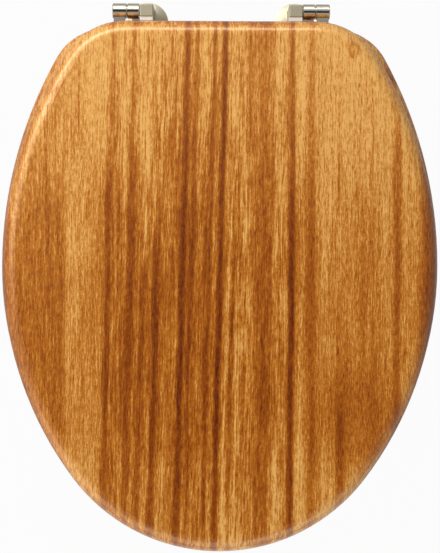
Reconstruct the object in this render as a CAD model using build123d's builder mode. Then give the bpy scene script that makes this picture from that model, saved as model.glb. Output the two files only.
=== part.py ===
from build123d import *
import math
import os

# A wooden toilet seat with its lid closed: a lid and a ring that swing on two metal hinges.
# Millimetres, +X to the right, +Y to the rear, +Z up. The origin lies midway between the
# two fixing studs, on the plane where the hinge bases meet the pan.

# Lid: a board of glued staves, straight along its rear edge and egg shaped to the front
lid_length = 450.0
lid_width = 368.5
lid_widest = 208.0  # from the rear edge forward to the widest place
lid_nose_radius = 155.0
lid_rear_edge = 160.0  # straight length along the hinges
lid_corner_radius = 62.0
lid_thickness = 18.0
lid_top_round = 12.5
lid_bottom_round = 5.0

# Ring: the same outline, a little wider than the lid behind the middle, with an egg shaped opening
ring_length = 447.0
ring_width = 376.0
ring_widest = 205.0
ring_nose_radius = 155.0
ring_rear_edge = 196.0
ring_corner_radius = 50.0
ring_thickness = 19.0
ring_top_round = 9.0
ring_bottom_round = 4.0
opening_margin = 105.0  # wood left between the rear edge and the opening
opening_length = 275.0
opening_width = 228.0
opening_widest = 138.0
opening_nose_radius = 92.0
opening_rear_edge = 24.0
opening_corner_radius = 78.0
opening_top_round = 11.0

# Bumpers: soft buttons under the lid, soft oblong pads under the ring
lid_gap = 7.0  # between the ring's top and the lid's underside
lid_bumper_diameter = 16.0
lid_bumper_taper = 6.0
lid_bumper_x = 55.0
lid_bumper_from_nose = 48.0
bumper_rest_gap = 0.3
ring_bumper_height = 9.0
ring_bumper_length = 40.0
ring_bumper_width = 15.0
ring_bumper_taper = 5.0
ring_bumper_screw_pitch = 22.0
front_bumper_from_side = 108.0
front_bumper_from_nose = 68.0
front_bumper_turn = 42.0  # degrees between the pad and the X axis
rear_bumper_from_side = 60.0
rear_bumper_from_rear = 146.0
rear_bumper_turn = 105.0
bumper_edge_round = 1.5

# Hinge: where it stands and how the lid and the ring lie against its axis
stud_spacing = 127.4
axis_setback = 5.3  # hinge axis behind the studs: the base is eccentric
lid_setback = 9.8  # lid's rear edge in front of the hinge axis
ring_setback = 12.6  # ring's rear edge in front of the hinge axis

# Hinge post: a square post on a low domed round base, cast in one piece
post_width = 11.4
post_depth = 10.6
post_edge_round = 0.8
post_root_round = 1.2
base_diameter = 35.0
base_rim = 2.0
base_crown = 5.8
base_roof = 1.2  # metal left above the stud's thread

# Post pad: a plastic block on the post's front, held by a peg below the hinge pin
pad_drop = 1.0  # below the post's top
pad_height = 14.0
pad_lid_gap = 0.8  # between the pad and the lid's rear edge
pad_edge_round = 0.6
pad_peg_radius = 1.5
pad_peg_length = 3.0
pad_peg_rise = 3.0  # above the pad's lower edge

# Hinge barrels, pin and bushes
barrel_diameter = 13.0
barrel_gap = 0.4
barrel_chamfer = 0.6
lid_barrel_length = 12.0
ring_barrel_length = 10.5
barrel_end_wall = 2.0
bush_wall = 1.4
pin_diameter = 6.0
pin_in_post = 9.0
pin_end_gap = 0.8
pin_chamfer = 0.6
running_clearance = 0.05
seat_clearance = 0.02

# Hinge leaves: flat plates in the gap, one screwed up into the lid, one down into the ring
leaf_thickness = 3.0
leaf_width = 22.0
leaf_length = 44.0
leaf_corner_radius = 7.0
leaf_chamfer = 0.6
leaf_margin = 1.5  # between a leaf and the rounded edge of its board
lid_neck_width = 10.0
ring_neck_width = 6.5

# Countersunk wood screws
countersink_angle = 90.0
hinge_screw_radius = 2.0
hinge_screw_head_radius = 3.8
hinge_screw_length = 15.0
hinge_screw_inset = 6.0  # from the leaf's edges
bumper_screw_radius = 1.5
bumper_screw_head_radius = 2.9
bumper_screw_length = 12.0
bumper_screw_seat = 3.0  # soft material left under the head
screw_recess_width = 0.9

# Fixing hardware, from the base down: gasket, stud, cone washer, flat washer and wing nut
gasket_thickness = 2.0
gasket_margin = 1.0
stud_radius = 4.0
stud_thread_radius = 3.6
stud_free_end = 10.0  # thread left below the nut
gasket_hole_clearance = 1.4
pan_thickness = 15.0
cone_top_radius = 6.5
cone_bottom_radius = 12.0
cone_height = 12.0
washer_radius = 12.5
washer_thickness = 2.0
nut_radius = 8.0
nut_height = 12.0
wing_span = 42.0
wing_thickness = 4.0
wing_rise = 5.0  # how far the wing tips stand out beyond the hub
wing_round = 3.0
thread_clearance = 0.15

# Heights
ring_bottom = ring_bumper_height
ring_top = ring_bottom + ring_thickness
lid_bottom = ring_top + lid_gap
axis_z = ring_top + lid_gap / 2
post_top = axis_z + barrel_diameter / 2
pad_top = post_top - pad_drop
pad_peg_z = pad_top - pad_height + pad_peg_rise

# Places along Y
axis_y = axis_setback
lid_rear_y = axis_y - lid_setback
ring_rear_y = axis_y - ring_setback
lid_nose_y = lid_rear_y - lid_length
ring_nose_y = ring_rear_y - ring_length
post_front_y = axis_y - post_depth / 2
pad_front_y = lid_rear_y + pad_lid_gap
lid_leaf_y = lid_rear_y - lid_bottom_round - leaf_margin
ring_leaf_y = ring_rear_y - ring_top_round - leaf_margin

# Places along X, outward from the middle
front_bumper_x = ring_width / 2 - front_bumper_from_side
rear_bumper_x = ring_width / 2 - rear_bumper_from_side
post_x = stud_spacing / 2
ring_barrel_x = post_x + post_width / 2 + barrel_gap
lid_barrel_x = ring_barrel_x + ring_barrel_length + barrel_gap
lid_bore_depth = lid_barrel_length - barrel_end_wall
lid_leaf_x = lid_barrel_x + leaf_width / 2
ring_leaf_x = lid_barrel_x - barrel_gap - leaf_width / 2

# Radii of what turns on the pin
pin_radius = pin_diameter / 2
bush_bore_radius = pin_radius + running_clearance
bush_radius = bush_bore_radius + bush_wall
barrel_radius = barrel_diameter / 2

SIDES = (("left", -1), ("right", 1))


def egg_outline(rear_y, length, width, widest, nose_radius, rear_edge, corner_radius):
    """A closed egg shape of tangent arcs: straight rear edge, corners, flanks, sides and nose."""
    half = width / 2
    widest_y = rear_y - widest
    nose_centre = Vector(0, rear_y - length + nose_radius)
    corner_centre = Vector(rear_edge / 2, rear_y - corner_radius)

    def side_join(end_centre, end_radius):
        """The point where the arc that leaves the widest place runs into an end arc."""
        run = end_centre.Y - widest_y
        reach = half - end_centre.X
        side_radius = (reach**2 + run**2 - end_radius**2) / (2 * (reach - end_radius))
        side_centre = Vector(half - side_radius, widest_y)
        return end_centre + (end_centre - side_centre).normalized() * end_radius

    nose_start = side_join(nose_centre, nose_radius)
    with BuildSketch() as outline:
        with BuildLine():
            rear = Line((-corner_centre.X, rear_y), (corner_centre.X, rear_y))
            corner = TangentArc(rear @ 1, side_join(corner_centre, corner_radius), tangent=rear % 1)
            flank = TangentArc(corner @ 1, (half, widest_y), tangent=corner % 1)
            side = TangentArc(flank @ 1, nose_start, tangent=flank % 1)
            mirror([corner, flank, side], about=Plane.YZ)
            TangentArc(side @ 1, (-nose_start.X, nose_start.Y), tangent=side % 1)
        make_face()
    return outline.sketch


def countersink_height(radius, head_radius):
    """Height of a conical head between its shank and its rim."""
    return (head_radius - radius) / math.tan(math.radians(countersink_angle / 2))


def wood_screw(radius, head_radius, length):
    """A countersunk screw that points down, with the top of its head at the origin."""
    head_height = countersink_height(radius, head_radius)
    with BuildPart() as screw:
        with BuildSketch(Plane.XZ):
            with BuildLine():
                Polyline(
                    (0, 0),
                    (head_radius, 0),
                    (radius, -head_height),
                    (radius, -length + head_height),
                    (0, -length),
                    close=True,
                )
            make_face()
        revolve(axis=Axis.Z)
        with Locations((0, 0, -head_height / 2)):
            Box(head_radius, screw_recess_width, head_height, mode=Mode.SUBTRACT)
            Box(screw_recess_width, head_radius, head_height, mode=Mode.SUBTRACT)
    return screw.part


def leaf_screw_places(leaf_x, leaf_y):
    """Two screws across the front of a leaf and one in the middle of its rear."""
    across = leaf_width / 2 - hinge_screw_inset
    front_y = leaf_y - leaf_length + hinge_screw_inset
    rear_y = leaf_y - hinge_screw_inset
    return [(leaf_x - across, front_y), (leaf_x + across, front_y), (leaf_x, rear_y)]


def hinge_leaf(leaf_x, leaf_y, seat_z, toward):
    """A rounded plate that lies on a board at seat_z, chamfered on the face turned toward the gap."""
    with BuildPart() as leaf:
        with BuildSketch(Plane.XY.offset(seat_z)):
            with Locations((leaf_x, leaf_y)):
                RectangleRounded(leaf_width, leaf_length, leaf_corner_radius, align=(Align.CENTER, Align.MAX))
        extrude(amount=toward * leaf_thickness)
        chamfer(leaf.faces(Select.LAST).sort_by(Axis((0, 0, 0), (0, 0, toward)))[-1].edges(), leaf_chamfer)
    return leaf.part


def facing_up(places, height):
    """Planes at these places that face up, for what is put in from above."""
    return [Plane(origin=(x, y, height)) for x, y in places]


def facing_down(places, height):
    """Planes at these places that face down, for what is put in from below."""
    return [Plane(origin=(x, y, height), z_dir=(0, 0, -1)) for x, y in places]


# Places of the screws and bumpers that the boards are drilled for
lid_leaf_places = {}
ring_leaf_places = {}
lid_bumper_places = {}
ring_bumper_planes = {}
for side_name, side in SIDES:
    lid_leaf_places[side_name] = leaf_screw_places(side * lid_leaf_x, lid_leaf_y)
    ring_leaf_places[side_name] = leaf_screw_places(side * ring_leaf_x, ring_leaf_y)
    lid_bumper_places[side_name] = (side * lid_bumper_x, lid_nose_y + lid_bumper_from_nose)
    for end_name, x, y, turn in (
        ("front", front_bumper_x, ring_nose_y + front_bumper_from_nose, front_bumper_turn),
        ("rear", rear_bumper_x, ring_rear_y - rear_bumper_from_rear, rear_bumper_turn),
    ):
        along = Vector(math.cos(math.radians(turn)), side * math.sin(math.radians(turn)))
        ring_bumper_planes[f"{end_name}_{side_name}"] = Plane(
            origin=(side * x, y, ring_bottom), x_dir=along, z_dir=(0, 0, -1)
        )

ring_bumper_screw_offsets = [(-ring_bumper_screw_pitch / 2, 0), (ring_bumper_screw_pitch / 2, 0)]
bumper_screw_head_height = countersink_height(bumper_screw_radius, bumper_screw_head_radius)
bumper_screw_depth = bumper_screw_length - bumper_screw_head_height - bumper_screw_seat
leaf_screw_depth = hinge_screw_length - leaf_thickness

os.makedirs("parts", exist_ok=True)

# Lid, with blind holes for the screws of its leaves and buttons
with BuildPart() as lid:
    with BuildSketch(Plane.XY.offset(lid_bottom)):
        add(
            egg_outline(
                lid_rear_y,
                lid_length,
                lid_width,
                lid_widest,
                lid_nose_radius,
                lid_rear_edge,
                lid_corner_radius,
            )
        )
    extrude(amount=lid_thickness)
    fillet(lid.faces().sort_by(Axis.Z)[-1].edges(), lid_top_round)
    fillet(lid.faces().sort_by(Axis.Z)[0].edges(), lid_bottom_round)
    with Locations(facing_down(lid_leaf_places["left"] + lid_leaf_places["right"], lid_bottom)):
        Hole(hinge_screw_radius + seat_clearance, leaf_screw_depth + seat_clearance)
    with Locations(facing_down(lid_bumper_places.values(), lid_bottom)):
        Hole(bumper_screw_radius + seat_clearance, bumper_screw_depth + seat_clearance)
lid.part.label = "lid"
export_step(lid.part, "parts/lid.step")

# Ring, with its opening, rounded all round, and blind holes from above and below
with BuildPart() as seat_ring:
    with BuildSketch(Plane.XY.offset(ring_bottom)):
        add(
            egg_outline(
                ring_rear_y,
                ring_length,
                ring_width,
                ring_widest,
                ring_nose_radius,
                ring_rear_edge,
                ring_corner_radius,
            )
        )
        add(
            egg_outline(
                ring_rear_y - opening_margin,
                opening_length,
                opening_width,
                opening_widest,
                opening_nose_radius,
                opening_rear_edge,
                opening_corner_radius,
            ),
            mode=Mode.SUBTRACT,
        )
    extrude(amount=ring_thickness)
    fillet(seat_ring.faces().sort_by(Axis.Z)[-1].outer_wire().edges(), ring_top_round)
    fillet(seat_ring.faces().sort_by(Axis.Z)[-1].inner_wires()[0].edges(), opening_top_round)
    fillet(seat_ring.faces().sort_by(Axis.Z)[0].edges(), ring_bottom_round)
    with Locations(facing_up(ring_leaf_places["left"] + ring_leaf_places["right"], ring_top)):
        Hole(hinge_screw_radius + seat_clearance, leaf_screw_depth + seat_clearance)
    for pad_plane in ring_bumper_planes.values():
        with Locations([pad_plane * Pos(x, y) for x, y in ring_bumper_screw_offsets]):
            Hole(bumper_screw_radius + seat_clearance, bumper_screw_depth + seat_clearance)
seat_ring.part.label = "seat_ring"
export_step(seat_ring.part, "parts/seat_ring.step")

# Buttons under the lid: they taper downward and are bored for a sunk screw
lid_bumper_height = lid_gap - bumper_rest_gap
for side_name, (x, y) in lid_bumper_places.items():
    seat_plane = Plane(origin=(x, y, lid_bottom), z_dir=(0, 0, -1))
    with BuildPart() as lid_bumper:
        with BuildSketch(seat_plane):
            Circle(lid_bumper_diameter / 2)
        extrude(amount=lid_bumper_height, taper=lid_bumper_taper)
        fillet(lid_bumper.edges().sort_by(Axis.Z)[0], bumper_edge_round)
        with Locations(seat_plane.offset(lid_bumper_height)):
            CounterBoreHole(
                bumper_screw_radius + seat_clearance,
                bumper_screw_head_radius + seat_clearance,
                lid_bumper_height - bumper_screw_seat,
            )
    lid_bumper.part.label = f"lid_bumper_{side_name}"
    export_step(lid_bumper.part, f"parts/lid_bumper_{side_name}.step")

# Pads under the ring: oblong, tapering down to the pan, each with two sunk screws
for pad_name, pad_plane in ring_bumper_planes.items():
    with BuildPart() as ring_bumper:
        with BuildSketch(pad_plane):
            SlotOverall(ring_bumper_length, ring_bumper_width)
        extrude(amount=ring_bumper_height, taper=ring_bumper_taper)
        fillet(ring_bumper.faces().sort_by(Axis.Z)[0].edges(), bumper_edge_round)
        foot_plane = pad_plane.offset(ring_bumper_height)
        with Locations([foot_plane * Pos(x, y) for x, y in ring_bumper_screw_offsets]):
            CounterBoreHole(
                bumper_screw_radius + seat_clearance,
                bumper_screw_head_radius + seat_clearance,
                ring_bumper_height - bumper_screw_seat,
            )
    ring_bumper.part.label = f"ring_bumper_{pad_name}"
    export_step(ring_bumper.part, f"parts/ring_bumper_{pad_name}.step")

# Screws of the buttons and the pads, heads down, resting on the soft seat
bumper_screw = wood_screw(bumper_screw_radius, bumper_screw_head_radius, bumper_screw_length)
bumper_screw_head_drop = bumper_screw_seat + bumper_screw_head_height
with BuildPart() as lid_bumper_screws:
    with Locations(facing_down(lid_bumper_places.values(), lid_bottom - bumper_screw_head_drop)):
        add(bumper_screw)
lid_bumper_screws.part.label = "lid_bumper_screws"
export_step(lid_bumper_screws.part, "parts/lid_bumper_screws.step")

with BuildPart() as ring_bumper_screws:
    for pad_plane in ring_bumper_planes.values():
        head_plane = pad_plane.offset(bumper_screw_head_drop)
        with Locations([head_plane * Pos(x, y) for x, y in ring_bumper_screw_offsets]):
            add(bumper_screw)
ring_bumper_screws.part.label = "ring_bumper_screws"
export_step(ring_bumper_screws.part, "parts/ring_bumper_screws.step")

# Screws of the hinge leaves: up into the lid, down into the ring
hinge_screw = wood_screw(hinge_screw_radius, hinge_screw_head_radius, hinge_screw_length)
lid_leaf_face = lid_bottom - leaf_thickness
ring_leaf_face = ring_top + leaf_thickness
with BuildPart() as lid_hinge_screws:
    with Locations(facing_down(lid_leaf_places["left"] + lid_leaf_places["right"], lid_leaf_face)):
        add(hinge_screw)
lid_hinge_screws.part.label = "lid_hinge_screws"
export_step(lid_hinge_screws.part, "parts/lid_hinge_screws.step")

with BuildPart() as ring_hinge_screws:
    with Locations(facing_up(ring_leaf_places["left"] + ring_leaf_places["right"], ring_leaf_face)):
        add(hinge_screw)
ring_hinge_screws.part.label = "ring_hinge_screws"
export_step(ring_hinge_screws.part, "parts/ring_hinge_screws.step")

# Hinges, from the pin outward and then down through the pan
for side_name, side in SIDES:
    outward = Plane(origin=(0, axis_y, axis_z), x_dir=(0, 1, 0), z_dir=(side, 0, 0))
    stud_plane = Plane(origin=(side * post_x, 0, 0))
    base_plane = stud_plane.offset(gasket_thickness)
    stud_top = base_crown - base_roof
    pad_plane = Plane(origin=(side * post_x, post_front_y, pad_peg_z), z_dir=(0, -1, 0))

    # Post: a low dome turned about the stud, with the square post standing on its rear
    with BuildPart() as hinge_post:
        with BuildSketch(Plane(origin=base_plane.origin, x_dir=(1, 0, 0), z_dir=(0, -1, 0))):
            with BuildLine():
                floor = Line((0, 0), (base_diameter / 2, 0))
                rim = Line(floor @ 1, (base_diameter / 2, base_rim))
                dome = TangentArc((0, base_crown), rim @ 1, tangent=(1, 0))
                Line(dome @ 0, floor @ 0)
            make_face()
        revolve(axis=Axis(base_plane.origin, (0, 0, 1)))
        with BuildSketch(base_plane):
            with Locations((0, axis_y)):
                RectangleRounded(post_width, post_depth, post_edge_round)
        extrude(amount=post_top - gasket_thickness)
        on_dome = (gasket_thickness + base_rim, gasket_thickness + base_crown)
        fillet(hinge_post.edges(Select.LAST).filter_by_position(Axis.Z, *on_dome), post_root_round)
        fillet(hinge_post.faces().sort_by(Axis.Z)[-1].edges(), post_edge_round)
        with Locations(outward.offset(post_x + post_width / 2)):
            Hole(pin_radius + seat_clearance, pin_in_post + seat_clearance)
        with Locations(pad_plane):
            Hole(pad_peg_radius + seat_clearance, pad_peg_length + seat_clearance)
        with BuildSketch(base_plane):
            Circle(stud_thread_radius + seat_clearance)
        extrude(amount=stud_top, mode=Mode.SUBTRACT)
    hinge_post.part.label = f"hinge_post_{side_name}"
    export_step(hinge_post.part, f"parts/hinge_post_{side_name}.step")

    # Post pad: a rounded block against the post's front face, its peg pressed into the post
    with BuildPart() as post_pad:
        with BuildSketch(Plane.XY.offset(pad_top)):
            with Locations((side * post_x, post_front_y)):
                Rectangle(post_width, post_front_y - pad_front_y, align=(Align.CENTER, Align.MAX))
        extrude(amount=-pad_height)
        seat_face = post_pad.faces().sort_by(Axis.Y)[-1]
        fillet(post_pad.edges() - seat_face.edges(), pad_edge_round)
        with BuildSketch(pad_plane):
            Circle(pad_peg_radius)
        extrude(amount=-pad_peg_length)
    post_pad.part.label = f"post_pad_{side_name}"
    export_step(post_pad.part, f"parts/post_pad_{side_name}.step")

    # Pin: pressed into the post, it carries the ring's barrel and reaches into the lid's
    pin_start = post_x + post_width / 2 - pin_in_post
    pin_end = lid_barrel_x + lid_bore_depth - pin_end_gap
    with BuildPart() as hinge_pin:
        with BuildSketch(outward.offset(pin_start)):
            Circle(pin_radius)
        extrude(amount=pin_end - pin_start)
        chamfer(hinge_pin.edges().filter_by(GeomType.CIRCLE), pin_chamfer)
    hinge_pin.part.label = f"hinge_pin_{side_name}"
    export_step(hinge_pin.part, f"parts/hinge_pin_{side_name}.step")

    # Ring's arm: inner barrel, a narrow neck and the leaf that lies on the ring
    with BuildPart() as ring_hinge_arm:
        with BuildSketch(outward.offset(ring_barrel_x)):
            Circle(barrel_radius)
        extrude(amount=ring_barrel_length)
        chamfer(ring_hinge_arm.edges().filter_by(GeomType.CIRCLE), barrel_chamfer)
        add(hinge_leaf(side * ring_leaf_x, ring_leaf_y, ring_top, 1))
        with BuildSketch(Plane.XY.offset(ring_top)):
            with Locations((side * (ring_barrel_x + ring_neck_width / 2), axis_y)):
                Rectangle(
                    ring_neck_width,
                    axis_y - ring_leaf_y + leaf_corner_radius,
                    align=(Align.CENTER, Align.MAX),
                )
        extrude(amount=leaf_thickness)
        with Locations(outward.offset(ring_barrel_x + ring_barrel_length)):
            Hole(bush_radius + seat_clearance, ring_barrel_length)
        with Locations(facing_up(ring_leaf_places[side_name], ring_leaf_face)):
            CounterSinkHole(
                hinge_screw_radius + seat_clearance,
                hinge_screw_head_radius + seat_clearance,
                counter_sink_angle=countersink_angle,
            )
    ring_hinge_arm.part.label = f"ring_hinge_arm_{side_name}"
    export_step(ring_hinge_arm.part, f"parts/ring_hinge_arm_{side_name}.step")

    # Lid's arm: outer barrel with a closed end, neck and the leaf that lies under the lid
    with BuildPart() as lid_hinge_arm:
        with BuildSketch(outward.offset(lid_barrel_x)):
            Circle(barrel_radius)
        extrude(amount=lid_barrel_length)
        chamfer(lid_hinge_arm.edges().filter_by(GeomType.CIRCLE), barrel_chamfer)
        add(hinge_leaf(side * lid_leaf_x, lid_leaf_y, lid_bottom, -1))
        with BuildSketch(Plane.XY.offset(lid_bottom - leaf_thickness)):
            with Locations((side * (lid_barrel_x + lid_barrel_length / 2), axis_y)):
                Rectangle(
                    lid_neck_width,
                    axis_y - lid_leaf_y + leaf_corner_radius,
                    align=(Align.CENTER, Align.MAX),
                )
        extrude(amount=leaf_thickness)
        with BuildSketch(outward.offset(lid_barrel_x)):
            Circle(bush_radius + seat_clearance)
        extrude(amount=lid_bore_depth, mode=Mode.SUBTRACT)
        with Locations(facing_down(lid_leaf_places[side_name], lid_leaf_face)):
            CounterSinkHole(
                hinge_screw_radius + seat_clearance,
                hinge_screw_head_radius + seat_clearance,
                counter_sink_angle=countersink_angle,
            )
    lid_hinge_arm.part.label = f"lid_hinge_arm_{side_name}"
    export_step(lid_hinge_arm.part, f"parts/lid_hinge_arm_{side_name}.step")

    # Bushes: plain sleeves in the two barrels
    with BuildPart() as ring_hinge_bush:
        with BuildSketch(outward.offset(ring_barrel_x)):
            Circle(bush_radius)
            Circle(bush_bore_radius, mode=Mode.SUBTRACT)
        extrude(amount=ring_barrel_length)
    ring_hinge_bush.part.label = f"ring_hinge_bush_{side_name}"
    export_step(ring_hinge_bush.part, f"parts/ring_hinge_bush_{side_name}.step")

    with BuildPart() as lid_hinge_bush:
        with BuildSketch(outward.offset(lid_barrel_x)):
            Circle(bush_radius)
            Circle(bush_bore_radius, mode=Mode.SUBTRACT)
        extrude(amount=lid_bore_depth)
    lid_hinge_bush.part.label = f"lid_hinge_bush_{side_name}"
    export_step(lid_hinge_bush.part, f"parts/lid_hinge_bush_{side_name}.step")

    # Gasket: a soft disc between the base and the pan
    with BuildPart() as base_gasket:
        with BuildSketch(stud_plane):
            Circle(base_diameter / 2 - gasket_margin)
            Circle(stud_radius + gasket_hole_clearance, mode=Mode.SUBTRACT)
        extrude(amount=gasket_thickness)
    base_gasket.part.label = f"base_gasket_{side_name}"
    export_step(base_gasket.part, f"parts/base_gasket_{side_name}.step")

    # Stud: threaded into the base, plain through the pan, threaded again below it
    thread_length = cone_height + washer_thickness + nut_height + stud_free_end
    with BuildPart() as fixing_stud:
        with BuildSketch(base_plane):
            Circle(stud_thread_radius)
        extrude(amount=stud_top)
        with BuildSketch(stud_plane.offset(-pan_thickness)):
            Circle(stud_radius)
        extrude(amount=pan_thickness + gasket_thickness)
        with BuildSketch(stud_plane.offset(-pan_thickness - thread_length)):
            Circle(stud_thread_radius)
        extrude(amount=thread_length)
        chamfer(fixing_stud.edges().sort_by(Axis.Z)[0], pin_chamfer)
    fixing_stud.part.label = f"fixing_stud_{side_name}"
    export_step(fixing_stud.part, f"parts/fixing_stud_{side_name}.step")

    # Cone washer: a soft tapered plug that centres the stud in the pan's hole
    with BuildPart() as cone_washer:
        with Locations((side * post_x, 0, -pan_thickness)):
            Cone(
                cone_bottom_radius,
                cone_top_radius,
                cone_height,
                align=(Align.CENTER, Align.CENTER, Align.MAX),
            )
            Hole(stud_thread_radius + thread_clearance)
    cone_washer.part.label = f"cone_washer_{side_name}"
    export_step(cone_washer.part, f"parts/cone_washer_{side_name}.step")

    # Flat washer under the cone
    washer_top = -pan_thickness - cone_height
    with BuildPart() as flat_washer:
        with BuildSketch(stud_plane.offset(washer_top)):
            Circle(washer_radius)
            Circle(stud_thread_radius + thread_clearance, mode=Mode.SUBTRACT)
        extrude(amount=-washer_thickness)
    flat_washer.part.label = f"flat_washer_{side_name}"
    export_step(flat_washer.part, f"parts/flat_washer_{side_name}.step")

    # Wing nut: a round hub with two flat wings that stand out below it
    nut_top = washer_top - washer_thickness
    wing_plane = Plane(origin=(side * post_x, 0, nut_top), x_dir=(1, 0, 0), z_dir=(0, 1, 0))
    with BuildPart() as wing_nut:
        with BuildSketch(stud_plane.offset(nut_top)):
            Circle(nut_radius)
        extrude(amount=-nut_height)
        with BuildSketch(wing_plane) as wings:
            with BuildLine():
                Polyline(
                    (0, wing_rise),
                    (nut_radius, wing_rise),
                    (wing_span / 2, nut_height / 2),
                    (wing_span / 2, nut_height + wing_rise),
                    (nut_radius + wing_round, nut_height),
                    (0, nut_height),
                    close=True,
                )
            make_face()
            mirror(about=Plane.YZ)
            fillet(wings.vertices().group_by(Axis.X)[-1], wing_round)
            fillet(wings.vertices().group_by(Axis.X)[0], wing_round)
        extrude(amount=wing_thickness / 2, both=True)
        with Locations((side * post_x, 0, nut_top)):
            Hole(stud_thread_radius + seat_clearance)
    wing_nut.part.label = f"wing_nut_{side_name}"
    export_step(wing_nut.part, f"parts/wing_nut_{side_name}.step")
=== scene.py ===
from math import radians, sqrt

import bpy
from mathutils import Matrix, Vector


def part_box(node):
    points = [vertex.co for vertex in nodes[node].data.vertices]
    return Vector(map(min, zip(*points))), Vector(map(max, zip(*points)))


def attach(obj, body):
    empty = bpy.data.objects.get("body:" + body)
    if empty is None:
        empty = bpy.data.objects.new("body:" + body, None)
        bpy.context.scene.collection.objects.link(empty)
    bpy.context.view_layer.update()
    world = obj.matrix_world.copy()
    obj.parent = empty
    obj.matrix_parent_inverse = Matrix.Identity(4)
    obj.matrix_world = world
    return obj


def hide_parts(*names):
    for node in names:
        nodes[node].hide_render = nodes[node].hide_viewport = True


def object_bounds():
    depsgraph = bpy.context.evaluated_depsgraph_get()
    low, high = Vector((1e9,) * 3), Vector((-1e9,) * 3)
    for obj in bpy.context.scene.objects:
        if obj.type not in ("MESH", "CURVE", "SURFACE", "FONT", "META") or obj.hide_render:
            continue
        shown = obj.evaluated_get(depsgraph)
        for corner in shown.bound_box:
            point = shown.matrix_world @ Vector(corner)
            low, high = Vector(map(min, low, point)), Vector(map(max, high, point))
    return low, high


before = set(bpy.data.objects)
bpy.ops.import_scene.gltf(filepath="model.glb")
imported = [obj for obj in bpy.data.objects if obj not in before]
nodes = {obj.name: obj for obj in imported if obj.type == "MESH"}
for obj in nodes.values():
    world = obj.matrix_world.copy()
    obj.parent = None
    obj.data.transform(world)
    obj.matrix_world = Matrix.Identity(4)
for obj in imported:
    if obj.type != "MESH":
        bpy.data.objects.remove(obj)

cad_low, cad_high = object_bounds()
bpy.ops.object.select_all(action="DESELECT")


# Seat ring: a board glued up from hardwood staves that run from the rear to the front,
# sawn to an egg-shaped ring, rounded over along every edge, oiled and lacquered.
class Value:
    """A socket in a finish's node tree. Sums on it add Math nodes to that tree."""

    def __init__(self, tree, socket=None):
        self.tree = tree
        self.socket = socket

    def add(self, kind, settings=None, sockets=None, output=0):
        """Adds a node of this kind: its settings first, then the values or links of its sockets."""
        node = self.tree.nodes.new("ShaderNode" + kind)
        for name, setting in (settings or {}).items():
            if name == "stops":
                while len(node.color_ramp.elements) < len(setting):
                    node.color_ramp.elements.new(1.0)
                for element, (position, colour) in zip(node.color_ramp.elements, setting):
                    element.position = position
                    element.color = (*colour, 1.0)
            else:
                setattr(node, name, setting)
        for name, value in (sockets or {}).items():
            if isinstance(value, Value):
                self.tree.links.new(value.socket, node.inputs[name])
            else:
                node.inputs[name].default_value = value
        return Value(self.tree, node.outputs[output] if node.outputs else None)

    def maths(self, operation, *terms, clamp=False):
        return self.add("Math", {"operation": operation, "use_clamp": clamp}, dict(enumerate(terms)))

    def __add__(self, other):
        return self.maths("ADD", self, other)

    def __sub__(self, other):
        return self.maths("SUBTRACT", self, other)

    def __rsub__(self, other):
        return self.maths("SUBTRACT", other, self)

    def __mul__(self, other):
        return self.maths("MULTIPLY", self, other)

    def __truediv__(self, other):
        return self.maths("DIVIDE", self, other)

    def __gt__(self, other):
        return self.maths("GREATER_THAN", self, other)

    __radd__ = __add__
    __rmul__ = __mul__

    def clamped(self):
        return self.maths("ADD", self, 0.0, clamp=True)

    def rise(self, low, high):
        """0 below low, 1 above high and a smooth slope between."""
        limits = {"Value": self, "From Min": low, "From Max": high}
        return self.add("MapRange", {"interpolation_type": "SMOOTHSTEP"}, limits)


def new_finish(name):
    """An empty finish, and a place to start its nodes from."""
    finish = bpy.data.materials.new(name)
    finish.use_nodes = True
    finish.node_tree.nodes.clear()
    return finish, Value(finish.node_tree)


def surface(start, sockets):
    """Ends a finish with the shader that has these values and links."""
    shader = start.add("BsdfPrincipled", sockets=sockets)
    start.add("OutputMaterial", sockets={"Surface": shader})


MILLIMETRES_PER_METRE = 1000.0


def parts_of(start, vector):
    """The three parts of a vector, along X, Y and Z."""
    return [start.add("SeparateXYZ", sockets={"Vector": vector}, output=axis) for axis in "XYZ"]


def places(start):
    """Where a point lies on the object, in millimetres: across, along and up."""
    place = start.add("TexCoord", output="Object")
    place = start.add("VectorMath", {"operation": "SCALE"}, {0: place, "Scale": MILLIMETRES_PER_METRE})
    return parts_of(start, place)


def noise(start, across, along, up, detail=2.0):
    """Cloudy noise about zero, one cloud to each unit."""
    place = start.add("CombineXYZ", sockets={"X": across, "Y": along, "Z": up})
    sockets = {"Vector": place, "Scale": 1.0, "Detail": detail, "Roughness": 0.55}
    return start.add("TexNoise", sockets=sockets) - 0.5


def srgb(*levels):
    """A colour as it is seen on a screen, 0 to 255, as the shader takes it."""
    parts = [level / 255 for level in levels]
    return tuple(part / 12.92 if part <= 0.04045 else ((part + 0.055) / 1.055) ** 2.4 for part in parts)


def dress(finish, *names):
    """Gives these nodes a finish."""
    for name in names:
        nodes[name].data.materials.clear()
        nodes[name].data.materials.append(finish)


HEARTWOOD = srgb(92, 24, 0)
DARK_BROWN = srgb(146, 66, 3)
WARM_BROWN = srgb(178, 94, 16)
GOLDEN = srgb(210, 129, 41)
SAPWOOD = srgb(255, 193, 106)
GOLDEN_SHEEN = srgb(255, 226, 178)
TONES = (
    (0.0, HEARTWOOD),
    (0.29, DARK_BROWN),
    (0.5, WARM_BROWN),
    (0.7, GOLDEN),
    (1.0, SAPWOOD),
)
MIDDLE_TONE = 0.56
PALEST_TONE = 0.9
PALE_SOFTNESS = 0.2
TONE_LIFT = 0.015

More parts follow.
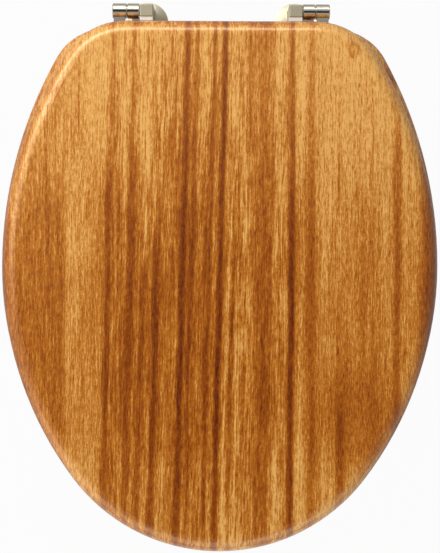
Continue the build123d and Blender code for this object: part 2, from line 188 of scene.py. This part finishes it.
# Slow changes of tone along the board, as (front, rear, step towards pale): painted light makes it paler
# towards the rear, it is also paler at its front end, and painted shade darkens its rear edge
TONE_AND_PAINTED_LIGHT_STEPS = (
    (-250, 0, 0.29),
    (-420, -310, -0.13),
    (-13, -7, -0.14),
)

# How the grain wanders, slowly and quickly, as (width, length, reach) in millimetres
WANDERS = (
    (16, 140, 5),
    (4, 34, 0.9),
)

# The fibres change with depth in the board, in millimetres, and from stave to stave
LAYER_DEPTH = 9
STAVE_SHIFT = 7.3

# Fibres, as (width, length) in millimetres, and how far each kind changes the tone
BROAD = (15, 260)
BROAD_SHARE = 0.4
BANDS = (3.4, 110)
BANDS_SHARE = 0.7
LINES = (1.2, 30)
LINES_SHARE = 1.1
HAIRS = (1.0, 6)
HAIRS_SHARE = 0.78
RIPPLE = (1.3, 1.9)
RIPPLE_SHARE = 0.36
PORES = (0.9, 7)
PORES_SHARE = 0.22
PORE_EDGE = (0.12, 0.22)

# Streaks fade out over some millimetres and are broken up by the fibres; a knot is longer than wide
STREAK_FADE = 18
STREAK_STRENGTH = 1.5
STREAK_BREAKS = 2.4
KNOT_STRETCH = 1.6
KNOT_BEND = 0.7
KNOT_DEPTH = 0.7
KNOT_BANDS = 5
KNOT_HAIRS = 3
LACQUER_ROUGHNESS = 0.24


def wood_finish(name, joints, streaks, lean, knot, seed):
    """Lacquered hardwood, measured in millimetres. Joints are (place, step in tone, step in figure)
    from left to right, the first one off the board, streaks (place, half width, depth, front end,
    rear end), paler where the depth is below zero, lean (middle, reach, slope, turning place)
    and knot (across, along, reach)."""
    finish, start = new_finish(name)
    x, y, z = places(start)
    stave = 0.0
    tone = 0.0
    figure = 0.0
    for place, tone_step, figure_step in joints:
        beyond = x > place
        stave = beyond + stave
        tone = beyond * tone_step + tone
        figure = beyond * figure_step + figure

    # The grain leans a little, wanders, and bends round the knot
    lean_middle, lean_reach, lean_slope, lean_y = lean
    off_middle = (x - lean_middle) / lean_reach
    leaning = (1 - off_middle * off_middle).clamped()
    across = x - leaning * lean_slope * (y - lean_y)
    knot_x, knot_y, knot_reach = knot
    off_x = (x - knot_x) / knot_reach
    off_y = (y - knot_y) / (knot_reach * KNOT_STRETCH)
    round_knot = (1 - (off_x * off_x + off_y * off_y)).clamped()
    across = across - round_knot * off_x * knot_reach * KNOT_BEND
    layer = z / LAYER_DEPTH + stave * STAVE_SHIFT + seed
    for width, length, reach in WANDERS:
        across = across + noise(start, x / width, y / length, layer) * reach

    def fibres(size, detail=2.0):
        width, length = size
        return noise(start, across / width, y / length, layer * 2, detail)

    broad = fibres(BROAD)
    bands = fibres(BANDS)
    lines = fibres(LINES)
    hairs = fibres(HAIRS)
    ripple = fibres(RIPPLE)
    pores = fibres(PORES, detail=1.0).rise(*PORE_EDGE)

    # Each streak fades out at its sides and ends, and is broken up along the fibres
    shade = 0.0
    for place, half_width, depth, front, rear in streaks:
        off = (across - place) / half_width
        body = (1 - off * off).clamped()
        fade = min(STREAK_FADE, (rear - front) / 3)
        ends = y.rise(front - fade, front + fade) * (1 - y.rise(rear - fade, rear + fade))
        shade = body * body * ends * depth + shade
    shade = shade * (STREAK_STRENGTH + bands * STREAK_BREAKS + lines * STREAK_BREAKS)

    # Figured staves show the long bands and lines most, and all staves show the short fibres
    tone = tone + MIDDLE_TONE + broad * BROAD_SHARE - shade
    # Painted light pales the rear of the board, and painted shade darkens its rear edge
    for front, rear, step in TONE_AND_PAINTED_LIGHT_STEPS:
        tone = tone + y.rise(front, rear) * step
    tone = start.maths("SMOOTH_MIN", tone, PALEST_TONE, PALE_SOFTNESS)
    grain = (bands * BANDS_SHARE + lines * LINES_SHARE) * figure
    grain = grain + hairs * HAIRS_SHARE + ripple * RIPPLE_SHARE - pores * PORES_SHARE
    eye = round_knot * (1 - round_knot) * (KNOT_DEPTH + bands * KNOT_BANDS + hairs * KNOT_HAIRS)
    tone = tone + TONE_LIFT + grain - eye
    bump = {"Strength": 0.25, "Distance": 0.0001, "Height": hairs * 0.5 - pores}
    surface(
        start,
        {
            "Base Color": start.add("ValToRGB", {"stops": TONES}, {"Fac": tone}),
            "Roughness": (LACQUER_ROUGHNESS + pores * 0.06 + lines * 0.04).clamped(),
            "IOR": 1.95,
            "Specular Tint": (*GOLDEN_SHEEN, 1.0),
            "Coat Weight": 0.3,
            "Coat Roughness": LACQUER_ROUGHNESS,
            "Coat IOR": 1.5,
            "Normal": start.add("Bump", sockets=bump),
        },
    )
    return finish


WOOD_FRONT = -470
WOOD_REAR = 20
RING_JOINTS = (
    (-400, 0.06, 0.55),
    (-132, 0.06, 0.15),
    (-88, -0.08, 0.15),
    (-34, 0.05, -0.1),
    (22, -0.06, 0.12),
    (70, 0.08, -0.2),
    (118, -0.04, 0.06),
)
RING_STREAKS = (
    (-104, 6, 0.2, WOOD_FRONT, WOOD_REAR),
    (-8, 7, 0.26, WOOD_FRONT, WOOD_REAR),
    (52, 6, 0.24, WOOD_FRONT, WOOD_REAR),
    (146, 6, 0.18, WOOD_FRONT, WOOD_REAR),
)
RING_LEAN = (20, 120, 0.012, -220)
RING_KNOT = (-140, -300, 9)
ring_wood = wood_finish("ring wood", RING_JOINTS, RING_STREAKS, RING_LEAN, RING_KNOT, seed=41.0)
dress(ring_wood, "seat_ring")

# Lid: one board glued up from the same staves, screwed to the upper leaves of the hinges and closed
# over the ring, with a large round along its upper edge. Its middle staves are dark and streaked,
# the outer ones golden with a straight, fine grain.
LID_JOINTS = (
    (-400, 0.08, 0.45),
    (-131, 0.12, 0.05),
    (-97, -0.08, 0.3),
    (63, 0.07, -0.3),
    (98, -0.02, -0.12),
)
# Dark streaks from left to right, then patches and flecks, paler where the depth is below zero; two dark
# bands along the right and left rims are painted shade
LID_STREAKS_AND_SHADE = (
    (-94, 4.5, 0.17, WOOD_FRONT, WOOD_REAR),
    (-76, 5.0, 0.17, WOOD_FRONT, WOOD_REAR),
    (-65, 4.0, 0.14, WOOD_FRONT, -220),
    (-54, 4.5, 0.2, WOOD_FRONT, -190),
    (-31.5, 4.5, 0.28, WOOD_FRONT, WOOD_REAR),
    (-24, 3.0, 0.18, WOOD_FRONT, WOOD_REAR),
    (-9, 3.2, 0.17, WOOD_FRONT, WOOD_REAR),
    (0, 4.2, 0.3, WOOD_FRONT, WOOD_REAR),
    (11, 4.0, 0.14, WOOD_FRONT, -240),
    (38, 10.0, 0.14, WOOD_FRONT, WOOD_REAR),
    (60, 4.2, 0.28, WOOD_FRONT, -150),
    (60, 4.2, 0.19, -150, WOOD_REAR),
    (77, 5.0, 0.11, WOOD_FRONT, WOOD_REAR),
    (103, 4.5, 0.12, WOOD_FRONT, -330),
    (149.5, 5.0, 0.17, -420, -90),
    (-64, 5.0, -0.1, -200, WOOD_REAR),
    (7.5, 4.0, -0.06, WOOD_FRONT, -150),
    (22.5, 5.0, -0.05, WOOD_FRONT, -110),
    (23, 6.0, 0.1, -120, WOOD_REAR),
    (-90, 34.0, -0.06, -130, WOOD_REAR),
    (-122, 12.0, -0.06, -330, -120),
    (112, 36.0, -0.06, -150, WOOD_REAR),
    (147, 26.0, -0.07, -330, -80),
    (-148, 24.0, -0.06, -160, -60),
    (54, 8.0, -0.03, -270, -110),
    (14, 12.0, -0.06, WOOD_FRONT, -270),
    (-20, 5.0, 0.07, WOOD_FRONT, -330),
    (-54, 9.0, 0.04, -370, -220),
    (28, 12.0, 0.05, -120, WOOD_REAR),
    (80, 14.0, 0.05, -420, -330),
    (72, 16.0, 0.04, -300, -140),
    (112, 60.0, 0.08, -385, -310),
    (0, 70.0, -0.06, WOOD_FRONT, -430),
    # Painted shade: a dark band along the right rim, which the lamps light least
    (178, 13.0, 0.19, -335, -95),
    (48.5, 5.0, -0.08, WOOD_FRONT, WOOD_REAR),
    (68, 4.0, -0.08, WOOD_FRONT, WOOD_REAR),
    (88, 10.0, -0.07, WOOD_FRONT, WOOD_REAR),
    (-121, 1.3, 0.16, -106, -36),
    (-145.5, 1.3, 0.14, -106, -68),
    (-175, 5.0, -0.12, -212, -140),
    # Painted shade: a dark band along the outermost left rim
    (-186, 7.0, 0.2, -275, -140),
    (100, 1.6, 0.22, -157, -118),
    (100, 1.5, 0.24, -286, -280),
    (-97.4, 1.4, 0.2, -320, -290),
    (-96.5, 1.4, 0.2, -397, -385),
    (-132, 45.0, -0.05, WOOD_FRONT, -170),
    (105, 45.0, -0.035, -280, -150),
    (118, 34.0, -0.05, WOOD_FRONT, -385),
)
LID_LEAN = (-45, 105, 0.021, -229)
LID_KNOT = (111.5, -30, 5)
lid_wood = wood_finish("lid wood", LID_JOINTS, LID_STREAKS_AND_SHADE, LID_LEAN, LID_KNOT, seed=3.0)
dress(lid_wood, "lid")

# Buttons under the lid and pads under the ring: soft moulded plastic, slightly milky,
# each held by countersunk screws sunk in its bores.
SOFT_MILKY = srgb(226, 224, 214)
SOFT_SHADOW = srgb(206, 203, 190)
PLASTIC_CLOUD = 7
PLASTIC_CLOUD_SHARE = 1.6


def clouds(start, size, detail):
    """Cloudy noise about zero, with the size of a cloud along X, Y and Z in millimetres."""
    x, y, z = places(start)
    return noise(start, x / size[0], y / size[1], z / size[2], detail)


def two_tone(start, share, colour, other):
    """One colour turning into another. A Mix node's colours are its sockets 6 and 7 and output 2."""
    mix = {0: share.clamped(), 6: (*colour, 1.0), 7: (*other, 1.0)}
    return start.add("Mix", {"data_type": "RGBA"}, mix, 2)


def plastic_finish(name, pale, deep, roughness, texture):
    """Moulded plastic, cloudy in tone, with the fine texture of its mould, given in millimetres."""
    finish, start = new_finish(name)
    cloud = clouds(start, [PLASTIC_CLOUD] * 3, detail=3.0)
    skin = clouds(start, [texture] * 3, detail=1.0)
    bump = {"Strength": 0.3, "Distance": 0.00006, "Height": skin}
    surface(
        start,
        {
            "Base Color": two_tone(start, 0.5 + cloud * PLASTIC_CLOUD_SHARE, pale, deep),
            "Roughness": (roughness + skin * 0.16 + cloud * 0.1).clamped(),
            "Normal": start.add("Bump", sockets=bump),
        },
    )
    return finish


soft_plastic = plastic_finish("soft plastic", SOFT_MILKY, SOFT_SHADOW, roughness=0.42, texture=0.5)
SIDES = ("left", "right")
for side in SIDES:
    dress(soft_plastic, f"lid_bumper_{side}", f"ring_bumper_front_{side}", f"ring_bumper_rear_{side}")

# Wood screws of the bumpers and the hinge leaves: countersunk steel, zinc plated,
# driven home with a cross-shaped driver.
ZINC_PALE = srgb(206, 208, 210)
ZINC_DULL = srgb(168, 170, 170)
METAL_CLOUD = 9
METAL_CLOUD_SHARE = 1.4
METAL_MARKS_SHARE = 0.5


def metal_finish(name, bright, dull, roughness, streak, depth, mirror=1.0):
    """Metal with clouds of duller tone and fine marks. Streak gives a mark's size along X, Y and Z
    in millimetres, depth its depth in metres, mirror how far it reflects as bare metal does."""
    finish, start = new_finish(name)
    cloud = clouds(start, [METAL_CLOUD] * 3, detail=3.0)
    marks = clouds(start, streak, detail=2.0)
    dullness = 0.5 + cloud * METAL_CLOUD_SHARE + marks * METAL_MARKS_SHARE
    bump = {"Strength": 0.2, "Distance": depth, "Height": marks}
    surface(
        start,
        {
            "Base Color": two_tone(start, dullness, bright, dull),
            "Metallic": mirror,
            "Roughness": (roughness + cloud * roughness * 0.5 + marks * roughness * 0.7).clamped(),
            "Normal": start.add("Bump", sockets=bump),
        },
    )
    return finish


zinc_steel = metal_finish(
    "zinc plated steel",
    ZINC_PALE,
    ZINC_DULL,
    roughness=0.3,
    streak=(0.4, 0.4, 0.4),
    depth=0.00003,
)
dress(zinc_steel, "lid_bumper_screws", "ring_bumper_screws", "lid_hinge_screws", "ring_hinge_screws")

# Hinge posts: a square post on a low round base, cast in one piece and plated to a satin warm grey,
# with the pin of each hinge pressed into the post's outer face and a white pad on its front.
SATIN_BRIGHT = srgb(206, 198, 172)
SATIN_DULL = srgb(186, 178, 150)
satin_metal = metal_finish(
    "satin plated metal",
    SATIN_BRIGHT,
    SATIN_DULL,
    roughness=0.36,
    streak=(0.35, 1.4, 1.4),
    depth=0.00004,
    mirror=0.5,
)
PAD_WHITE = srgb(250, 249, 244)
PAD_SHADE = srgb(238, 236, 228)
pad_plastic = plastic_finish("white pad nylon", PAD_WHITE, PAD_SHADE, roughness=0.4, texture=0.4)
for side in SIDES:
    dress(satin_metal, f"hinge_post_{side}")
    dress(pad_plastic, f"post_pad_{side}")
    dress(zinc_steel, f"hinge_pin_{side}")

# Bushes: plain sleeves of natural nylon, one pressed into each barrel,
# so that the barrels turn on the steel pin without wear.
NYLON_PALE = srgb(232, 230, 222)
NYLON_DEEP = srgb(216, 212, 200)
bush_plastic = plastic_finish("natural nylon", NYLON_PALE, NYLON_DEEP, roughness=0.38, texture=0.4)
for side in SIDES:
    dress(bush_plastic, f"lid_hinge_bush_{side}", f"ring_hinge_bush_{side}")

# Hinge arms: a barrel with a neck and a leaf, forged in one piece, polished and plated.
# One leaf is screwed under the lid, the other on the ring.
PLATE_BRIGHT = srgb(228, 222, 206)
PLATE_DULL = srgb(214, 206, 188)
polished_metal = metal_finish(
    "polished plating",
    PLATE_BRIGHT,
    PLATE_DULL,
    roughness=0.13,
    streak=(1.6, 0.3, 0.3),
    depth=0.000012,
)
for side in SIDES:
    dress(polished_metal, f"lid_hinge_arm_{side}", f"ring_hinge_arm_{side}")

# Studs: turned from steel, threaded at both ends, plain where they pass through the pan and zinc plated.
# The upper end is screwed into the base; the thread below the pan is rolled and shows under the nut.
SHANK_RADIUS = 0.004
SHANK_LOW = -0.015
SHANK_HIGH = 0.002
SHANK_SIDES = 48
SHANK_CHAMFER = 0.0003
CREST_RADIUS = 0.0036
THREAD_DEPTH = 0.0006
THREAD_PITCH = 0.00125
THREAD_STEPS = 32
SPARE_TURNS = 3
STUD_CHAMFER = 0.0006
SMOOTH_ANGLE = radians(32)

# How near a corner lies to an end of the shank, to a corner that it is welded to, and to a cut
END_REACH = 0.001
WELD_REACH = 0.000005
TRIM_REACH = 0.0000001

stud_low, stud_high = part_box("fixing_stud_left")
stud_x = (stud_low.x + stud_high.x) / 2
stud_y = (stud_low.y + stud_high.y) / 2


def pick(piece, part, wanted):
    """Selects, in edit mode, only the faces or edges of a piece that are wanted."""
    bpy.ops.object.mode_set(mode="EDIT")
    bpy.ops.mesh.select_mode(type=part)
    bpy.ops.mesh.select_all(action="DESELECT")
    bpy.ops.object.mode_set(mode="OBJECT")
    items = piece.data.polygons if part == "FACE" else piece.data.edges
    for item in items:
        corners = [piece.data.vertices[corner].co for corner in item.vertices]
        item.select = wanted(corners)
    bpy.ops.object.mode_set(mode="EDIT")


# One tooth of the thread, stood up beside the axis and open towards it, is wound up the stud.
# The centre of a tooth lies two thirds of its depth inside the crest.
tooth_centre = CREST_RADIUS - THREAD_DEPTH / 1.5
tooth_root = CREST_RADIUS - THREAD_DEPTH / 2
bpy.ops.mesh.primitive_circle_add(
    vertices=3,
    radius=THREAD_PITCH / sqrt(3),
    location=(tooth_centre, 0.0, stud_low.z - THREAD_PITCH),
    rotation=(radians(90), radians(90), 0.0),
)
thread = bpy.context.object
thread.scale.y = THREAD_DEPTH / (THREAD_PITCH * sqrt(3) / 2)
bpy.ops.object.transform_apply(location=True, rotation=True, scale=True)
pick(thread, "EDGE", lambda corners: all(corner.x < tooth_root for corner in corners))
bpy.ops.mesh.delete(type="EDGE")
bpy.ops.object.mode_set(mode="OBJECT")
winding = thread.modifiers.new("winding", "SCREW")
winding.axis = "Z"
winding.angle = radians(360)
winding.screw_offset = THREAD_PITCH
winding.iterations = round((SHANK_LOW - stud_low.z) / THREAD_PITCH) + SPARE_TURNS
winding.steps = THREAD_STEPS
winding.render_steps = THREAD_STEPS
bpy.ops.object.modifier_apply(modifier="winding")
bpy.ops.object.mode_set(mode="EDIT")
bpy.ops.mesh.select_all(action="SELECT")
bpy.ops.mesh.remove_doubles(threshold=WELD_REACH)
bpy.ops.mesh.normals_make_consistent(inside=False)

# The thread is cut off inside the shank and above the stud's end, which is drawn down to a chamfer
trim = {"clear_outer": True, "use_fill": True, "threshold": TRIM_REACH}
bpy.ops.mesh.bisect(plane_co=(0, 0, SHANK_LOW + THREAD_PITCH), plane_no=(0, 0, 1), **trim)
bpy.ops.mesh.select_all(action="SELECT")
bpy.ops.mesh.bisect(plane_co=(0, 0, stud_low.z + STUD_CHAMFER), plane_no=(0, 0, -1), **trim)
bpy.ops.mesh.extrude_region_move(TRANSFORM_OT_translate={"value": (0, 0, -STUD_CHAMFER)})
end_share = 1 - STUD_CHAMFER / CREST_RADIUS
bpy.ops.transform.resize(value=(end_share, end_share, 1.0), center_override=(0, 0, stud_low.z))
bpy.ops.mesh.select_all(action="SELECT")
bpy.ops.transform.translate(value=(stud_x, stud_y, 0.0))
bpy.ops.mesh.normals_make_consistent(inside=False)
bpy.ops.object.mode_set(mode="OBJECT")

# The shank, with the stub for the base drawn up from its top
bpy.ops.object.select_all(action="DESELECT")
bpy.ops.mesh.primitive_cylinder_add(
    vertices=SHANK_SIDES,
    radius=SHANK_RADIUS,
    depth=SHANK_HIGH - SHANK_LOW,
    location=(stud_x, stud_y, (SHANK_HIGH + SHANK_LOW) / 2),
)
stud = bpy.context.object
bpy.ops.object.transform_apply(location=True)
pick(stud, "EDGE", lambda corners: all(corner.z < SHANK_LOW + END_REACH for corner in corners))
bpy.ops.mesh.bevel(offset=SHANK_CHAMFER, segments=2, affect="EDGES")
bpy.ops.object.mode_set(mode="OBJECT")
pick(stud, "FACE", lambda corners: all(corner.z > SHANK_HIGH - END_REACH for corner in corners))
bpy.ops.mesh.inset(thickness=SHANK_RADIUS - CREST_RADIUS)
bpy.ops.mesh.extrude_region_move(TRANSFORM_OT_translate={"value": (0, 0, stud_high.z - SHANK_HIGH)})
bpy.ops.object.mode_set(mode="OBJECT")
thread.select_set(True)
bpy.ops.object.join()
bpy.ops.object.shade_smooth_by_angle(angle=SMOOTH_ANGLE)
stud.data.materials.append(zinc_steel)

# The right stud is a copy, moved across with its own mesh
bpy.ops.object.duplicate()
right_stud = bpy.context.object
right_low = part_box("fixing_stud_right")[0]
bpy.ops.object.mode_set(mode="EDIT")
bpy.ops.mesh.select_all(action="SELECT")
bpy.ops.transform.translate(value=(right_low.x - stud_low.x, 0.0, 0.0))
bpy.ops.object.mode_set(mode="OBJECT")
bpy.ops.object.select_all(action="DESELECT")
for side, piece in zip(SIDES, (stud, right_stud)):
    piece.name = f"threaded_stud_{side}"
    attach(piece, "hinge_base")
    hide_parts(f"fixing_stud_{side}")

# Fixings: a soft gasket between each base and the pan, and below the pan, on each stud,
# a soft cone, a zinc plated steel washer and the moulded nylon wing nut that clamps them.
NUT_WHITE = srgb(234, 233, 228)
NUT_SHADE = srgb(218, 216, 208)
nut_plastic = plastic_finish("white nylon", NUT_WHITE, NUT_SHADE, roughness=0.45, texture=0.6)
for side in SIDES:
    dress(soft_plastic, f"base_gasket_{side}", f"cone_washer_{side}")
    dress(zinc_steel, f"flat_washer_{side}")
    dress(nut_plastic, f"wing_nut_{side}")

# Studio floor: a plain pale sheet well below the fixings, as below a pan. The camera sees it
# nearly white, and the lacquer and the metal mirror it brightest in front of the seat.
FLOOR_SIZE = 60.0
FLOOR_DROP = 0.06
FLOOR_PALE = srgb(172, 172, 172)
PLAIN_WHITE = (1.0, 1.0, 1.0, 1.0)
FLOOR_GLOW = 0.96
MIRRORED_GLOW = 0.12
FRONT_GLOW = 0.88

# Where the mirrored glow fades, along the seat in millimetres
FRONT_EDGE = (-650, -420)


def glow_share(start, seen_share, mirrored_share):
    """How much of the plain white the camera sees, and how much is mirrored or seen through glass."""
    seen = start.add("LightPath", output="Is Camera Ray")
    mirrored = start.add("LightPath", output="Is Glossy Ray")
    through = start.add("LightPath", output="Is Transmission Ray")
    return (seen * seen_share + (mirrored + through) * mirrored_share).clamped()


bpy.ops.mesh.primitive_plane_add(size=FLOOR_SIZE, location=(0, 0, cad_low.z - FLOOR_DROP))
floor = bpy.context.object
floor.name = "floor"
floor_finish, start = new_finish("pale floor")
lit = start.add("BsdfDiffuse", sockets={"Color": (*FLOOR_PALE, 1.0)})
glow = start.add("Emission", sockets={"Color": PLAIN_WHITE, "Strength": 1.0})
along = places(start)[1]
in_front = 1 - along.rise(*FRONT_EDGE)
white = glow_share(start, FLOOR_GLOW, MIRRORED_GLOW + in_front * FRONT_GLOW)
mixed = start.add("MixShader", sockets={0: white, 1: lit, 2: glow})
start.add("OutputMaterial", sockets={"Surface": mixed})
floor.data.materials.append(floor_finish)

# Surround: a plain pale room that the camera sees as white. It lights the seat from behind and a little
# from the left, leaves the right side dim, and is dark overhead, where the camera hangs.
SURROUND_DIM = 0.42
SURROUND_REAR = 0.28
SURROUND_LEFT = 0.05
SURROUND_UNLIT = 0.92
SURROUND_MIRRORED = 0.34
DARK_SPOT = (0.0, -0.1, 0.995)
SPOT_EDGE = (0.955, 0.985)
OVERHEAD_EDGE = (0.55, 0.85)
REAR_EDGE = (0.1, 0.75)
LEFT_EDGE = (-0.9, -0.2)
UNLIT_RIGHT_EDGE = (0.1, 0.7)
UNLIT_FRONT_EDGE = (-0.55, -0.25)
world = bpy.data.worlds.new("studio")
bpy.context.scene.world = world
world.use_nodes = True
world.node_tree.nodes.clear()
start = Value(world.node_tree)
way = start.add("TexCoord", output="Generated")
to_right, to_rear, upward = parts_of(start, way)
low = 1 - upward.rise(*OVERHEAD_EDGE)
to_spot = start.add("VectorMath", {"operation": "DOT_PRODUCT"}, {0: way, 1: DARK_SPOT}, "Value")
off_spot = 1 - to_spot.rise(*SPOT_EDGE)
behind = to_rear.rise(*REAR_EDGE) * SURROUND_REAR
aside = (1 - to_right.rise(*LEFT_EDGE)) * SURROUND_LEFT
unlit = to_right.rise(*UNLIT_RIGHT_EDGE) * to_rear.rise(*UNLIT_FRONT_EDGE) * SURROUND_UNLIT
level = (low * (behind + aside) + SURROUND_DIM * (1 - unlit)) * off_spot
white = glow_share(start, 1.0, low * SURROUND_MIRRORED)
strength = level + white * (1 - level)
surround = start.add("Background", sockets={"Color": PLAIN_WHITE, "Strength": strength})
start.add("OutputWorld", sockets={"Surface": surround})

# Soft boxes: three lamps behind white cloth, at the rear, at the left and low in front,
# each turned to the middle of the lid. A row gives a box's place, its width and height, and its power.
LID_MIDDLE = (0.0, -0.22, 0.05)
SOFT_BOXES = (
    ("rear box", (-0.5, 0.8, 1.0), (1.6, 0.45), 9.2),
    ("left box", (-0.88, 0.42, 1.12), (1.6, 0.9), 6.6),
    ("front box", (-0.25, -1.5, 0.66), (3.8, 1.0), 11.0),
)
for box_name, place, (width, height), power in SOFT_BOXES:
    bpy.ops.object.light_add(type="AREA", location=place)
    box = bpy.context.object
    box.name = box_name
    box.data.shape = "RECTANGLE"
    box.data.size = width
    box.data.size_y = height
    box.data.energy = power
    towards = box.location.copy()
    towards.x -= LID_MIDDLE[0]
    towards.y -= LID_MIDDLE[1]
    towards.z -= LID_MIDDLE[2]
    box.rotation_mode = "QUATERNION"
    box.rotation_quaternion = towards.to_track_quat("Z", "Y")

# Camera: it hangs over the middle of the lid, looks straight down through a long lens
# and is turned a little, as the seat in the photograph is. Lens and sensor are in millimetres.
CAMERA_PLACE = (0.0003, -0.2213, 1.278)
CAMERA_TURN = 0.33
CAMERA_LENS = 94.85
CAMERA_SENSOR = 36.0
bpy.ops.object.camera_add(location=CAMERA_PLACE, rotation=(0.0, 0.0, radians(CAMERA_TURN)))
camera = bpy.context.object
camera.data.lens = CAMERA_LENS
camera.data.sensor_width = CAMERA_SENSOR
bpy.context.scene.camera = camera
bpy.context.scene.view_settings.view_transform = "Standard"
